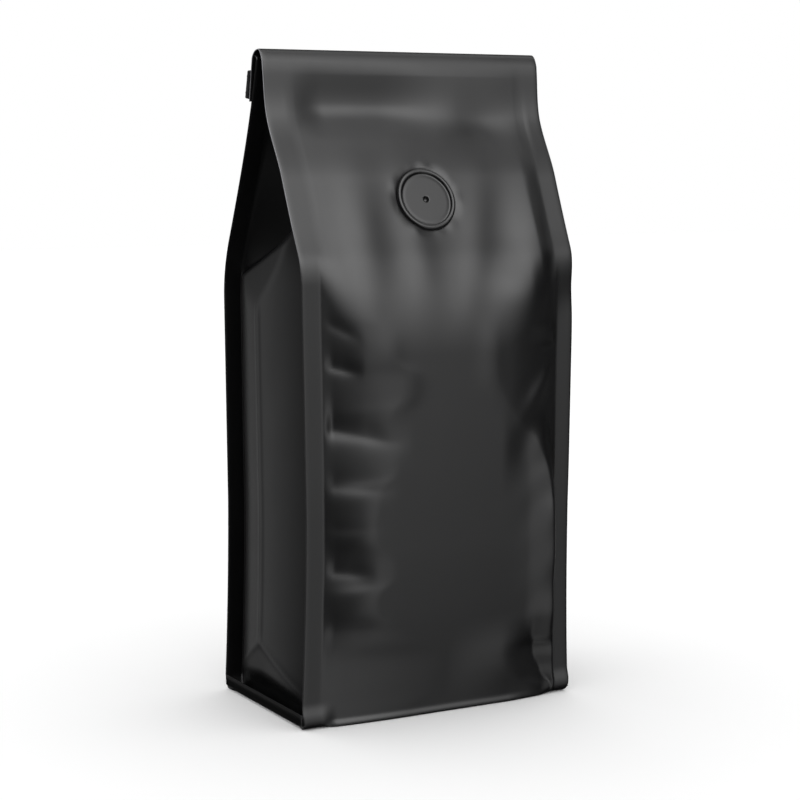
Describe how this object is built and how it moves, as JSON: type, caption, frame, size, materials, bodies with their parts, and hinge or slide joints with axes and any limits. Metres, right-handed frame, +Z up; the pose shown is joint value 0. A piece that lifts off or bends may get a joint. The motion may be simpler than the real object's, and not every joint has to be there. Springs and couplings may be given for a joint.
{
  "type": "coffee bag",
  "caption": "Filled side-gusset coffee bag with corner seals, a flat base, a top folded over to the back under a tin tie, and a round one-way valve on the front slope.",
  "frame": {"origin": "middle of the base, on the surface that the bag stands on", "axes": "+Z up; -Y out of the front panel, which carries the valve; +X to the right as the front is seen"},
  "size_m": [0.1116, 0.0761, 0.2293],
  "materials": {
    "film": "satin black laminated film",
    "valve": "smooth satin black plastic",
    "tie": "satin black plastic cover over wire"
  },
  "bodies": {
    "root": {"pouch": "film", "valve": "valve", "tin_tie": "tie"}
  },
  "joints": []
}
